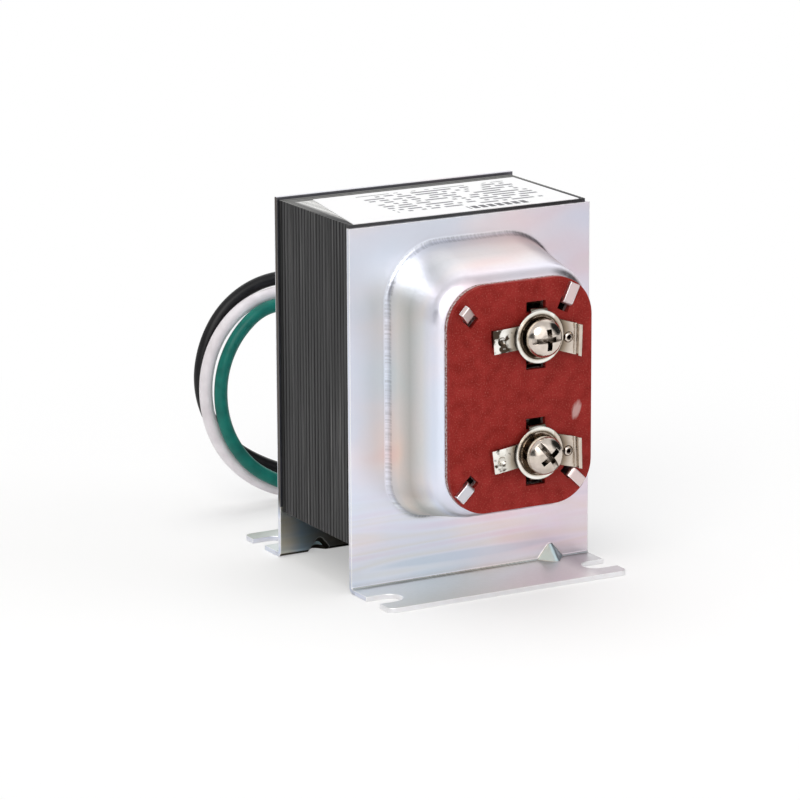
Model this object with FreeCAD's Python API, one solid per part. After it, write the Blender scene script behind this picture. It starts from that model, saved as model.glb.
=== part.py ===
import FreeCAD, Part
import math
import os

# Doorbell transformer, in millimetres. X runs to the right, the terminals face -Y and Z is up.
# The origin lies on the mounting surface, midway between the two feet.

# Core of E and I laminations, with their legs along X
tongue = 22.0
stack_depth = 30.0
core_lift = 10.0
packet_count = 24
groove_width = 0.3
groove_depth = 0.22

# End bells, drawn from sheet steel
sheet = 1.0
plate_overhang = 0.5
front_plate_drop = 0.6
rear_plate_rise = 0.6
foot_reach = 16.0
bend_radius = 0.5
foot_corner_radius = 1.6
slot_width = 5.5
slot_length = 6.5
slot_setback = 9.0
dart_inset = 9.2
dart_leg = 3.8
dart_width = 6.4
dart_ridge_radius = 1.2
dome_drop = 0.9
dome_side_room = 2.2
dome_end_room = 6.3
dome_side_draft = 1.4
dome_end_draft = 3.8
dome_base_rise = 0.6
dome_base_radius = 12.0
dome_low_radius = 8.5
dome_top_radius = 9.5
shoulder_radius = 3.5
root_radius = 1.0
wiring_room = 6.5
side_ledge = 4.6
end_ledge = 5.6
opening_radius = 4.5

# Tabs that fold over the terminal board
tab_width = 2.2
tab_length = 3.0
upper_right_tab_length = 3.6
tab_root = 1.0
tab_angle = 44.0
upper_right_tab_angle = 65.0
folded_flat = 90.0
folded_part_way = 62.0

# Terminal board
board_thickness = 2.0
board_side_inset = 1.6
board_end_inset = 1.2
board_shift = 0.3
board_radius = 8.5
tab_slot_clearance = 0.2
tab_slot_relief = 1.4

# Terminal plates and screws
terminal_sheet = 0.8
terminal_offset = 3.7
terminal_pitch = 23.9
terminal_turn = 1.8
dish_floor_radius = 3.3
dish_curve_radius = 2.2
dish_curve_turn = 75.0
left_wing_length = 10.4
left_wing_width = 4.8
left_wing_droop = 5.7
right_wing_length = 9.7
right_wing_width = 6.2
right_wing_droop = 16.0
wing_lift = 0.35
lip_height = 0.7
lip_bend_radius = 0.4
dimple_radius = 1.1
dimple_depth = 0.5
wing_hole_radius = 0.45
leg_radius = 4.9
leg_width = 3.8
leg_tail = 1.6
leg_slot_width = 4.5
leg_slot_depth = 2.2
leg_slot_clearance = 0.15
collar_wall = 0.9
collar_length = 2.4
collar_clearance = 0.3
screw_diameter = 3.5
screw_clearance = 0.1
screw_head_diameter = 7.8
screw_head_height = 2.7
screw_head_edge = 0.9
screw_crown_turn = 52.0
screw_length = 7.0
upper_screw_gap = 1.9
lower_screw_gap = 2.4
screw_slot_span = 6.8
screw_slot_depth = 1.2
recess_width = 1.1
recess_span = 4.4
recess_depth = 1.8
upper_recess_turn = -2.0
lower_recess_turn = 53.0

# Coil
bobbin_clearance = 0.3
bobbin_wall = 1.2
bobbin_corner = 1.5
flange_clearance = 1.0
flange_corner = 8.0
coil_overhang = 10.5
winding_setback = 1.5
winding_corner = 6.2
tape_thickness = 0.3
insulator_thickness = 0.4
insulator_corner = 4.0
cutoff_length = 10.0
cutoff_width = 5.5
cutoff_height = 2.4
cutoff_edge = 0.6
cutoff_setback = 1.0
secondary_lead_diameter = 1.7
secondary_lead_clearance = 0.3

# Rating label on top of the core
label_thickness = 0.15
label_front_inset = 1.0
label_rear_inset = 6.0
label_right_inset = 1.5
label_rear_gap = 3.6

# Leads and their outlet in the rear bell
lead_diameter = 2.9
lead_count = 3
lead_spacing = 3.1
outlet_offset = 9.0
outlet_rise = 2.9
bushing_wall = 1.2
bushing_play = 0.1
bushing_flange_width = 1.7
bushing_flange_height = 1.6
bushing_barrel_tail = 1.2
bore_clearance = 0.1
splice_diameter = 2.8
splice_end_gap = 1.0
lug_width = 3.0
lug_sheet = 0.8
lug_pad_length = 4.5
lug_gap = 0.6
strand_diameter = 1.3
strand_length = 8.0
arc_reach = 0.45

# Routes of the leads, from their inner ends to where the bare strands start
black_route = [
    (9.0, 31.4, 46.8), (9.0, 41.4, 46.8), (4.4, 50.2, 48.7), (-4.1, 54.9, 50.4),
    (-12.3, 56.5, 49.0), (-19.6, 56.8, 44.4), (-24.2, 56.8, 37.2), (-25.8, 56.8, 28.5),
    (-23.4, 56.8, 19.8), (-17.4, 56.8, 12.8), (-9.6, 57.0, 8.0), (-0.8, 57.4, 4.6),
    (8.2, 58.2, 2.3), (17.2, 59.8, 1.6), (25.4, 62.6, 1.5), (32.0, 66.6, 1.5),
]
white_route = [
    (10.55, 31.4, 44.15), (10.55, 40.4, 44.15), (6.5, 48.5, 44.7), (-1.6, 53.3, 46.8),
    (-10.1, 54.0, 47.2), (-17.8, 53.6, 44.3), (-23.6, 53.5, 37.9), (-26.1, 53.5, 29.2),
    (-25.0, 53.4, 19.6), (-20.5, 53.2, 11.3), (-12.9, 52.8, 5.0), (-3.6, 52.4, 2.0),
    (6.2, 52.2, 1.6), (15.8, 52.8, 1.5), (24.6, 54.8, 1.5), (32.0, 58.0, 1.5),
]
green_route = [
    (7.45, 31.4, 44.15), (7.45, 39.8, 44.15), (3.5, 46.9, 44.1), (-3.6, 50.9, 44.7),
    (-12.3, 51.3, 45.2), (-19.0, 51.3, 39.9), (-22.9, 51.2, 32.6), (-23.5, 51.2, 24.4),
    (-21.5, 50.9, 16.8), (-16.8, 50.2, 10.0), (-9.6, 49.2, 5.7), (-1.4, 48.0, 3.0),
    (7.6, 47.0, 1.7), (16.8, 46.6, 1.5), (25.4, 47.8, 1.5), (32.4, 50.6, 1.5),
]

# Sizes that follow
leg = tongue / 2
window_height = tongue / 2
window_length = 1.5 * tongue
core_width = window_length + 2 * leg
core_height = tongue + 2 * window_height + 2 * leg
core_middle = core_lift + core_height / 2
core_top = core_lift + core_height
stack_face = stack_depth / 2
plate_face = stack_face + sheet
plate_width = core_width + 2 * plate_overhang
front_plate_top = core_top - front_plate_drop
rear_plate_top = core_top + rear_plate_rise
coil_length = window_length - 2 * bobbin_clearance
coil_height = tongue + 2 * window_height - 2 * flange_clearance
coil_face = stack_face + coil_overhang
insulator_face = coil_face + insulator_thickness
dome_middle = core_middle - dome_drop
dome_base_width = coil_length + 2 * (dome_side_room + sheet)
dome_base_height = coil_height + 2 * (dome_end_room + sheet)
dome_top_width = dome_base_width - 2 * dome_side_draft
dome_top_height = dome_base_height - 2 * dome_end_draft
dome_inner_face = insulator_face + wiring_room
dome_face = dome_inner_face + sheet
opening_width = dome_top_width - 2 * side_ledge
opening_height = dome_top_height - 2 * end_ledge
board_width = dome_top_width - 2 * board_side_inset
board_height = dome_top_height - 2 * board_end_inset
board_face = dome_face + board_thickness
terminal_heights = {"upper": dome_middle + terminal_pitch / 2, "lower": dome_middle - terminal_pitch / 2}
terminal_turns = {"upper": terminal_turn, "lower": -terminal_turn}
screw_gaps = {"upper": upper_screw_gap, "lower": lower_screw_gap}
recess_turns = {"upper": upper_recess_turn, "lower": lower_recess_turn}
bore_radius = screw_diameter / 2 + screw_clearance
collar_radius = bore_radius + collar_wall
leg_outer_radius = leg_radius + terminal_sheet
wing_root = dish_floor_radius + dish_curve_radius / 2
outlet_height = core_middle + outlet_rise - dome_drop
outlet_radius = lead_spacing / (2 * math.sin(math.pi / lead_count)) + lead_diameter / 2 + bore_clearance
barrel_radius = outlet_radius + bushing_wall
tolerance = sheet / 100
axis_x = FreeCAD.Vector(1, 0, 0)
axis_y = FreeCAD.Vector(0, 1, 0)
axis_z = FreeCAD.Vector(0, 0, 1)


def vector(x, y, z):
    return FreeCAD.Vector(x, y, z)


def block(low, high):
    size = [top - bottom for bottom, top in zip(low, high)]
    return Part.makeBox(*size, vector(*low))


def solid_of(shape):
    return shape.removeSplitter().Solids[0]


def rounded_outline(width, height, radius, place, low_radius=None):
    """Rounded rectangle in a placement's XY plane; its lower corners may have their own radius."""
    across = width / 2
    along = height / 2
    radii = {1: radius, -1: low_radius or radius}
    corners = [(1, 1), (-1, 1), (-1, -1), (1, -1)]
    edges = []
    last = vector(across, radii[-1] - along, 0)
    for step, (sx, sy) in enumerate(corners):
        bulge = radii[sy] * (1 - math.sqrt(0.5))
        side = vector(sx * across, sy * (along - radii[sy]), 0)
        end = vector(sx * (across - radii[sy]), sy * along, 0)
        first, second = (side, end) if step % 2 == 0 else (end, side)
        middle = vector(sx * (across - bulge), sy * (along - bulge), 0)
        edges.append(Part.LineSegment(last, first).toShape())
        edges.append(Part.Arc(first, middle, second).toShape())
        last = second
    wire = Part.Wire(edges)
    wire.Placement = place
    return wire


def facing_front(depth, height):
    """Placement whose local X is X and local Y is Z, at this depth along Y."""
    return FreeCAD.Placement(vector(0, depth, height), FreeCAD.Rotation(axis_x, 90))


def facing_side(along):
    """Placement whose local X is Y and local Y is Z, at this distance along X, about the core's middle."""
    return FreeCAD.Placement(vector(along, 0, core_middle), FreeCAD.Rotation(vector(1, 1, 1), 120))


def rounded_plate(width, height, radius, near, far, middle):
    face = Part.Face(rounded_outline(width, height, radius, facing_front(near, middle)))
    return face.extrude(axis_y * (far - near))


def rounded_sleeve(start, end, inner, outer):
    """Sleeve along X about the tongue; inner and outer are (depth, height, corner radius)."""
    shell = Part.Face(rounded_outline(*outer, facing_side(start))).extrude(axis_x * (end - start))
    hollow = Part.Face(rounded_outline(*inner, facing_side(start))).extrude(axis_x * (end - start))
    return shell.cut(hollow)


def rod(radius, x, z, near, far):
    return Part.makeCylinder(radius, far - near, vector(x, near, z), axis_y)


def e_and_i_stacks():
    """E laminations with the yoke at the left, I laminations closing the legs at the right."""
    half_width = core_width / 2
    half_window = window_length / 2
    whole = block((-half_width, -stack_face, core_lift), (half_width, stack_face, core_top))
    wall = vector(half_width, stack_face, core_top)
    packet = stack_depth / packet_count
    rings = []
    for step in range(1, packet_count):
        middle = step * packet - stack_face
        near = middle - groove_width / 2
        far = middle + groove_width / 2
        outer = block((-wall.x, near, core_lift), (wall.x, far, wall.z))
        inner = block((groove_depth - wall.x, near, core_lift + groove_depth),
                      (wall.x - groove_depth, far, wall.z - groove_depth))
        rings.append(outer.cut(inner))
    whole = whole.cut(Part.makeCompound(rings))
    right = block((half_window, -stack_face, core_lift), (half_width, stack_face, core_top))
    i_stack = whole.common(right)
    e_stack = whole.cut(right)
    for side in (-1, 1):
        middle = core_middle + side * (tongue + window_height) / 2
        e_stack = e_stack.cut(block((-half_window, -stack_face, middle - window_height / 2),
                                    (half_window, stack_face, middle + window_height / 2)))
    return solid_of(e_stack), solid_of(i_stack)


def bent_plate(plate_top):
    """Plate and foot as one bent strip, in the front bell's place."""
    half_width = plate_width / 2
    bend = vector(-half_width, -plate_face - bend_radius, sheet + bend_radius)
    outer = bend_radius + sheet
    slant = math.sqrt(0.5)
    back_top = vector(-half_width, -stack_face, plate_top)
    back_end = bend + axis_y * outer
    under_start = bend - axis_z * outer
    toe_low = vector(-half_width, -plate_face - foot_reach, 0)
    toe_high = toe_low + axis_z * sheet
    over_start = bend - axis_z * bend_radius
    front_end = bend + axis_y * bend_radius
    front_top = vector(-half_width, -plate_face, plate_top)
    edges = [
        Part.LineSegment(back_top, back_end).toShape(),
        Part.Arc(back_end, bend + vector(0, slant, -slant) * outer, under_start).toShape(),
        Part.LineSegment(under_start, toe_low).toShape(),
        Part.LineSegment(toe_low, toe_high).toShape(),
        Part.LineSegment(toe_high, over_start).toShape(),
        Part.Arc(over_start, bend + vector(0, slant, -slant) * bend_radius, front_end).toShape(),
        Part.LineSegment(front_end, front_top).toShape(),
        Part.LineSegment(front_top, back_top).toShape(),
    ]
    strip = Part.Face(Part.Wire(edges)).extrude(axis_x * plate_width)
    toe_edges = [edge for edge in strip.Edges
                 if abs(edge.Length - sheet) < tolerance and edge.BoundBox.YMax < -plate_face - bend_radius]
    return strip.makeFillet(foot_corner_radius, toe_edges)


def foot_slots():
    """Cutters for the two open-ended mounting slots of the front bell's foot."""
    middle = -plate_face - slot_setback
    cutters = []
    for side in (-1, 1):
        round_centre = side * (plate_width / 2 - slot_length + slot_width / 2)
        ends = sorted((round_centre, side * plate_width))
        low = (ends[0], middle - slot_width / 2, -sheet)
        high = (ends[1], middle + slot_width / 2, 2 * sheet)
        cutters.append(block(low, high))
        cutters.append(Part.makeCylinder(slot_width / 2, 3 * sheet, vector(round_centre, middle, -sheet)))
    return cutters


def dart():
    """Ridge across the bend that stiffens the foot, as its outer solid."""
    x = plate_width / 2 - dart_inset
    high = vector(x, -plate_face, sheet + dart_leg)
    toe = vector(x, -plate_face - dart_leg, sheet)
    left = vector(x - dart_width / 2, -plate_face, sheet)
    right = vector(x + dart_width / 2, -plate_face, sheet)
    sides = [(high, left, toe), (high, toe, right), (high, right, left), (toe, left, right)]
    faces = [Part.Face(Part.makePolygon([*corners, corners[0]])) for corners in sides]
    solid = Part.makeSolid(Part.makeShell(faces))
    ridge = [edge for edge in solid.Edges if edge.BoundBox.XLength < tolerance]
    return solid.makeFillet(dart_ridge_radius, ridge)


def dome(inset, base, top, rounding):
    """Drafted dome; inset is the sheet that lies outside it."""
    base_wire = rounded_outline(dome_base_width - 2 * inset, dome_base_height - 2 * inset,
                                dome_base_radius - inset, facing_front(-base, dome_middle + dome_base_rise),
                                dome_low_radius - inset)
    top_wire = rounded_outline(dome_top_width - 2 * inset, dome_top_height - 2 * inset,
                               dome_top_radius - inset, facing_front(-top, dome_middle))
    body = Part.makeLoft([base_wire, top_wire], True, True)
    shoulder = [edge for edge in body.Edges if edge.BoundBox.YMax < -top + tolerance]
    return body.makeFillet(rounding, shoulder)


def edges_at(shape, depth, width, height):
    """Edges in the plane at this depth that lie inside a rectangle about the dome's middle."""
    found = []
    for edge in shape.Edges:
        box = edge.BoundBox
        flat = abs(box.YMin + depth) < tolerance and abs(box.YMax + depth) < tolerance
        across = max(abs(box.XMin), abs(box.XMax)) <= width / 2
        along = max(abs(box.ZMin - dome_middle), abs(box.ZMax - dome_middle)) <= height / 2
        if flat and across and along:
            found.append(edge)
    return found


def bell(plate_top):
    """Drawn end bell with a closed end, in the front bell's place."""
    shape = bent_plate(plate_top).fuse(dart())
    shape = shape.cut(dart().translated(vector(0, sheet, -sheet)))
    shape = shape.fuse(dome(0, plate_face, dome_face, shoulder_radius)).removeSplitter()
    grip = 2 * sheet
    root = edges_at(shape, plate_face, dome_base_width + grip, dome_base_height + grip)
    shape = shape.makeFillet(root_radius, root)
    shape = shape.cut(dome(sheet, stack_face, dome_inner_face, shoulder_radius - sheet))
    mouth = edges_at(shape, stack_face, dome_base_width, dome_base_height)
    shape = shape.makeFillet(root_radius + sheet, mouth)
    for cutter in foot_slots():
        shape = shape.cut(cutter)
    return shape


def tab_corner(side, rise):
    """Where a tab leaves the opening's corner, and the direction in which it folds."""
    turn = math.radians(upper_right_tab_angle if (side, rise) == (1, 1) else tab_angle)
    out = vector(side * math.cos(turn), 0, rise * math.sin(turn))
    centre = vector(side * (opening_width / 2 - opening_radius), -board_face,
                    dome_middle + rise * (opening_height / 2 - opening_radius))
    return centre + out * opening_radius, out


def tab(side, rise, fold, length):
    """Tab lanced from the opening's edge, through the board and folded over it."""
    pivot, out = tab_corner(side, rise)
    turn = math.radians(fold)
    lift = axis_y * -1
    along = out * math.sin(turn) + lift * math.cos(turn)
    normal = lift * math.sin(turn) - out * math.cos(turn)
    halfway = lift * math.sin(turn / 2) - out * math.cos(turn / 2)
    depth = lift * -(board_thickness + sheet)
    foot = pivot + depth
    ledge = lift * sheet
    tip = pivot + along * length
    edges = [
        Part.LineSegment(foot - out * sheet, foot + out * tab_root).toShape(),
        Part.LineSegment(foot + out * tab_root, foot + out * tab_root + ledge).toShape(),
        Part.LineSegment(foot + out * tab_root + ledge, foot + ledge).toShape(),
        Part.LineSegment(foot + ledge, pivot).toShape(),
        Part.LineSegment(pivot, tip).toShape(),
        Part.LineSegment(tip, tip + normal * sheet).toShape(),
        Part.LineSegment(tip + normal * sheet, pivot + normal * sheet).toShape(),
        Part.Arc(pivot + normal * sheet, pivot + halfway * sheet, pivot - out * sheet).toShape(),
        Part.LineSegment(pivot - out * sheet, foot - out * sheet).toShape(),
    ]
    across = out.cross(axis_y)
    face = Part.Face(Part.Wire(edges)).translated(across * (-tab_width / 2))
    return face.extrude(across * tab_width)


def front_bell():
    shape = bell(front_plate_top)
    shape = shape.cut(rounded_plate(opening_width, opening_height, opening_radius,
                                    -dome_face - sheet, -dome_inner_face + sheet, dome_middle))
    for side in (-1, 1):
        for rise in (-1, 1):
            fold = folded_part_way if (side, rise) == (-1, 1) else folded_flat
            length = upper_right_tab_length if (side, rise) == (1, 1) else tab_length
            shape = shape.fuse(tab(side, rise, fold, length))
    return solid_of(shape)


def rear_bell():
    shape = bell(rear_plate_top)
    shape.rotate(vector(0, 0, 0), axis_z, 180)
    hole = rod(barrel_radius + bushing_play, outlet_offset, outlet_height,
               dome_inner_face - sheet, dome_face + sheet)
    return solid_of(shape.cut(hole))


def terminal_board():
    shape = rounded_plate(board_width, board_height, board_radius, -board_face, -dome_face, dome_middle)
    shape.translate(axis_x * board_shift)
    through = board_thickness * 2
    for side in (-1, 1):
        for rise in (-1, 1):
            pivot, out = tab_corner(side, rise)
            across = out.cross(axis_y)
            half = tab_width / 2 + tab_slot_clearance
            inner = pivot - out * (sheet + tab_slot_relief)
            outer = pivot + out * tab_slot_clearance
            side_step = across * half
            corners = [inner - side_step, outer - side_step, outer + side_step, inner + side_step]
            slot = Part.Face(Part.makePolygon([*corners, corners[0]])).translated(axis_y * -through)
            shape = shape.cut(slot.extrude(axis_y * 2 * through))
    for height in terminal_heights.values():
        near = -board_face - through
        far = -dome_face + through
        shape = shape.cut(rod(collar_radius + collar_clearance, terminal_offset, height, near, far))
        for rise in (-1, 1):
            inner, outer = sorted((height + rise * (leg_radius - leg_slot_clearance),
                                   height + rise * (leg_radius - leg_slot_clearance + leg_slot_depth)))
            low = (terminal_offset - leg_slot_width / 2, near, inner)
            high = (terminal_offset + leg_slot_width / 2, far, outer)
            shape = shape.cut(block(low, high))
    return solid_of(shape)


def dish_form(inset):
    """Cup in a terminal plate's middle, as a solid about the local Y axis; inset is the sheet outside it."""
    radius = dish_curve_radius - inset

    def on_curve(angle):
        out = dish_floor_radius + radius * math.sin(angle)
        return vector(out, radius * math.cos(angle) - dish_curve_radius, 0)

    turn = math.radians(dish_curve_turn)
    start = on_curve(0)
    rim = on_curve(turn)
    floor_middle = vector(0, start.y, 0)
    rim_middle = vector(0, rim.y, 0)
    edges = [
        Part.LineSegment(floor_middle, start).toShape(),
        Part.Arc(start, on_curve(turn / 2), rim).toShape(),
        Part.LineSegment(rim, rim_middle).toShape(),
        Part.LineSegment(rim_middle, floor_middle).toShape(),
    ]
    return Part.Face(Part.Wire(edges)).revolve(vector(0, 0, 0), axis_y, 360)


def left_wing():
    """Flat wing with a dimple, along the local X axis before it is turned to the left."""
    over = -wing_lift - terminal_sheet
    wing = block((0, over, -left_wing_width / 2), (left_wing_length, -wing_lift, left_wing_width / 2))
    pit_middle = (wing_root + dish_curve_radius + left_wing_length) / 2
    pit = vector(pit_middle, over - dimple_radius + dimple_depth, 0)
    wing = wing.cut(Part.makeSphere(dimple_radius, pit))
    wing.rotate(vector(0, 0, 0), axis_y, 180)
    wing.rotate(vector(-wing_root, 0, 0), axis_y, -left_wing_droop)
    return wing


def right_wing():
    """Wing with a turned-up lip and a pierced hole, sheared so that its drooping end stays upright."""
    edge = -right_wing_width / 2
    shear = right_wing_width * math.tan(math.radians(right_wing_droop))
    bend = terminal_sheet + lip_bend_radius
    low = -wing_lift
    high = low - terminal_sheet
    centre = vector(right_wing_length - bend, low - bend, edge)
    slant = vector(math.sqrt(0.5), math.sqrt(0.5), 0)
    start = vector(0, low, edge)
    under = centre + axis_y * bend
    outside = centre + axis_x * bend
    inside = centre + axis_x * lip_bend_radius
    over = centre + axis_y * lip_bend_radius
    tip = outside - axis_y * lip_height
    tip_inside = tip - axis_x * terminal_sheet
    end = vector(0, high, edge)
    edges = [
        Part.LineSegment(start, under).toShape(),
        Part.Arc(under, centre + slant * bend, outside).toShape(),
        Part.LineSegment(outside, tip).toShape(),
        Part.LineSegment(tip, tip_inside).toShape(),
        Part.LineSegment(tip_inside, inside).toShape(),
        Part.Arc(inside, centre + slant * lip_bend_radius, over).toShape(),
        Part.LineSegment(over, end).toShape(),
        Part.LineSegment(end, start).toShape(),
    ]
    wing = Part.Face(Part.Wire(edges)).translated(axis_x * (shear / 2))
    wing = wing.extrude(vector(-shear, 0, right_wing_width))
    hole_middle = (wing_root + dish_curve_radius / 2 + right_wing_length - bend) / 2
    wing = wing.cut(rod(wing_hole_radius, hole_middle, 0, 2 * high, 0))
    wing.rotate(vector(wing_root, 0, 0), axis_y, right_wing_droop)
    return wing


def terminal_leg():
    """Leg that leaves the dish upwards and turns back through the board."""
    pivot = vector(-leg_width / 2, -wing_lift, leg_radius)
    root = vector(-leg_width / 2, -wing_lift, 0)
    tail = vector(-leg_width / 2, board_thickness + leg_tail, leg_radius)
    slant = vector(0, -math.sqrt(0.5), math.sqrt(0.5)) * terminal_sheet
    over = axis_y * -terminal_sheet
    out = axis_z * terminal_sheet
    edges = [
        Part.LineSegment(root, pivot).toShape(),
        Part.LineSegment(pivot, tail).toShape(),
        Part.LineSegment(tail, tail + out).toShape(),
        Part.LineSegment(tail + out, pivot + out).toShape(),
        Part.Arc(pivot + out, pivot + slant, pivot + over).toShape(),
        Part.LineSegment(pivot + over, root + over).toShape(),
        Part.LineSegment(root + over, root).toShape(),
    ]
    return Part.Face(Part.Wire(edges)).extrude(axis_x * leg_width)


def terminal_plate(height, turn):
    """Cupped terminal with two wings, two legs through the board and a tapped collar."""
    shape = dish_form(0).fuse(rod(collar_radius, 0, 0, 0, collar_length))
    lower_leg = terminal_leg()
    lower_leg.rotate(vector(0, 0, 0), axis_y, 180)
    for arm in (left_wing(), right_wing(), terminal_leg(), lower_leg):
        shape = shape.fuse(arm)
    shape = shape.cut(dish_form(terminal_sheet))
    shape = shape.cut(rod(bore_radius, 0, 0, -dish_curve_radius, 2 * collar_length))
    shape.rotate(vector(0, 0, 0), axis_y, turn)
    shape.translate(vector(terminal_offset, -board_face, height))
    return solid_of(shape)


def terminal_screw(height, gap, turn):
    """Round head with a slot and a cross recess on a plain shank, backed out by the gap under the head."""
    seat = -board_face - terminal_sheet - gap
    head = screw_head_diameter / 2
    shank = screw_diameter / 2
    centre = vector(terminal_offset, seat, height)
    crown = vector(0, -screw_head_height, 0)
    shoulder = vector(head, -screw_head_edge, 0)
    slope = math.radians(screw_crown_turn)
    crown_rise = screw_head_height - screw_head_edge
    bulge = vector(head * math.sin(slope), -screw_head_edge - crown_rise * math.cos(slope), 0)
    edges = [
        Part.LineSegment(centre + crown, centre + axis_y * screw_length).toShape(),
        Part.LineSegment(centre + axis_y * screw_length, centre + vector(shank, screw_length, 0)).toShape(),
        Part.LineSegment(centre + vector(shank, screw_length, 0), centre + vector(shank, 0, 0)).toShape(),
        Part.LineSegment(centre + vector(shank, 0, 0), centre + vector(head, 0, 0)).toShape(),
        Part.LineSegment(centre + vector(head, 0, 0), centre + shoulder).toShape(),
        Part.Arc(centre + shoulder, centre + bulge, centre + crown).toShape(),
    ]
    shape = Part.Face(Part.Wire(edges)).revolve(centre, axis_y, 360)
    crown_top = seat - screw_head_height
    for span, depth, quarter in ((screw_slot_span, screw_slot_depth, 0), (recess_span, recess_depth, 0),
                                 (recess_span, recess_depth, 90)):
        low = (terminal_offset - span / 2, crown_top - screw_head_height, height - recess_width / 2)
        high = (terminal_offset + span / 2, crown_top + depth, height + recess_width / 2)
        arm = block(low, high)
        arm.rotate(centre, axis_y, turn + quarter)
        shape = shape.cut(arm)
    return solid_of(shape)


def grown(size, margin):
    """Depth and height of a section after a margin is added all round."""
    return tuple(side + 2 * margin for side in size)


bobbin_tube = grown((stack_depth, tongue), bobbin_clearance + bobbin_wall)
flange_size = (2 * coil_face, coil_height)
tape_size = grown(flange_size, -winding_setback)
winding_size = grown(tape_size, -tape_thickness)
flange_starts = [-coil_length / 2, -bobbin_wall / 2, coil_length / 2 - bobbin_wall]
winding_spans = {"primary": (flange_starts[0] + bobbin_wall, flange_starts[1]),
                 "secondary": (flange_starts[1] + bobbin_wall, flange_starts[2])}


def coil_bobbin():
    """Square tube on the tongue with two end flanges and one between the windings."""
    hole = (*grown((stack_depth, tongue), bobbin_clearance), bobbin_clearance)
    shape = rounded_sleeve(-coil_length / 2, coil_length / 2, hole, (*bobbin_tube, bobbin_corner))
    for start in flange_starts:
        shape = shape.fuse(rounded_sleeve(start, start + bobbin_wall, hole, (*flange_size, flange_corner)))
    return solid_of(shape)


def winding(name):
    start, end = winding_spans[name]
    inner = (*bobbin_tube, bobbin_corner)
    return solid_of(rounded_sleeve(start, end, inner, (*winding_size, winding_corner)))


def tape(name):
    start, end = winding_spans[name]
    outer_corner = winding_corner + tape_thickness
    return solid_of(rounded_sleeve(start, end, (*winding_size, winding_corner), (*tape_size, outer_corner)))


def insulator(near, far):
    """Sheet that lies on the coil, between it and a bell."""
    return rounded_plate(coil_length, coil_height, insulator_corner, near, far, core_middle)


def front_insulator():
    shape = insulator(-insulator_face, -coil_face)
    hole = secondary_lead_diameter / 2 + secondary_lead_clearance
    for height in terminal_heights.values():
        middle = lead_height(height)
        shape = shape.cut(rod(hole, terminal_offset, middle, -insulator_face - sheet, -coil_face + sheet))
    return shape


def lead_height(height):
    """Height of the terminal leg, nearer the board's middle, that takes the secondary lead."""
    inward = 1 if height < dome_middle else -1
    return height + inward * (leg_radius + leg_outer_radius) / 2


def secondary_lead(height):
    """Sleeved winding end from the coil to the tail of a terminal leg."""
    coil = -tape_size[0] / 2
    tail = -dome_face + leg_tail
    return rod(secondary_lead_diameter / 2, terminal_offset, lead_height(height), tail, coil)


def thermal_cutoff():
    """Flat cut-off on top of the primary, where the coil stands out behind the core."""
    start, end = winding_spans["primary"]
    middle = (start + end) / 2
    seat = core_middle + tape_size[1] / 2
    near = stack_face + cutoff_setback
    shape = block((middle - cutoff_length / 2, near, seat),
                  (middle + cutoff_length / 2, near + cutoff_width, seat + cutoff_height))
    upper = [edge for edge in shape.Edges if edge.BoundBox.ZMin > seat + cutoff_height / 2]
    return shape.makeFillet(cutoff_edge, upper)


def lead_bushing():
    tail = dome_inner_face - bushing_barrel_tail
    brim = dome_face + bushing_flange_height
    shape = rod(barrel_radius, outlet_offset, outlet_height, tail, dome_face)
    brim_radius = barrel_radius + bushing_flange_width
    shape = shape.fuse(rod(brim_radius, outlet_offset, outlet_height, dome_face, brim))
    rim = [edge for edge in shape.Edges if edge.BoundBox.YMin > brim - tolerance]
    shape = shape.makeFillet(bushing_flange_height / 2, rim)
    bore = rod(outlet_radius, outlet_offset, outlet_height, tail - sheet, brim + sheet)
    return solid_of(shape.cut(bore))


def splice(route):
    """Sleeved joint between a lead's inner end and the coil."""
    x, near, z = route[0]
    return rod(splice_diameter / 2, x, z, insulator_face, near)


def ground_lug(route):
    """Barrel on the green lead's end with a strap to the inside of the rear bell."""
    x, near, z = route[0]
    barrel = rod(splice_diameter / 2, x, z, insulator_face + splice_end_gap, near)
    under = dome_inner_face - bushing_barrel_tail - lug_gap
    low = outlet_height - barrel_radius - lug_gap
    left = x - lug_width / 2
    right = x + lug_width / 2
    strap = block((left, under - lug_sheet, low - lug_sheet), (right, under, z))
    riser = block((left, under - lug_sheet, low - lug_sheet), (right, dome_inner_face, low))
    pad = block((left, dome_inner_face - lug_sheet, low - lug_pad_length), (right, dome_inner_face, low))
    return solid_of(barrel.fuse(strap).fuse(riser).fuse(pad))


def rating_label():
    """Thin label on the core's top, put on a little askew."""
    left = -core_width / 2
    right = core_width / 2 - label_right_inset
    rear = stack_face - label_rear_gap
    corners = [
        vector(left + label_front_inset, -stack_face, core_top), vector(right, -stack_face, core_top),
        vector(right, rear, core_top), vector(left + label_rear_inset, rear, core_top),
    ]
    return Part.Face(Part.makePolygon([*corners, corners[0]])).extrude(axis_z * label_thickness)


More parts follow.
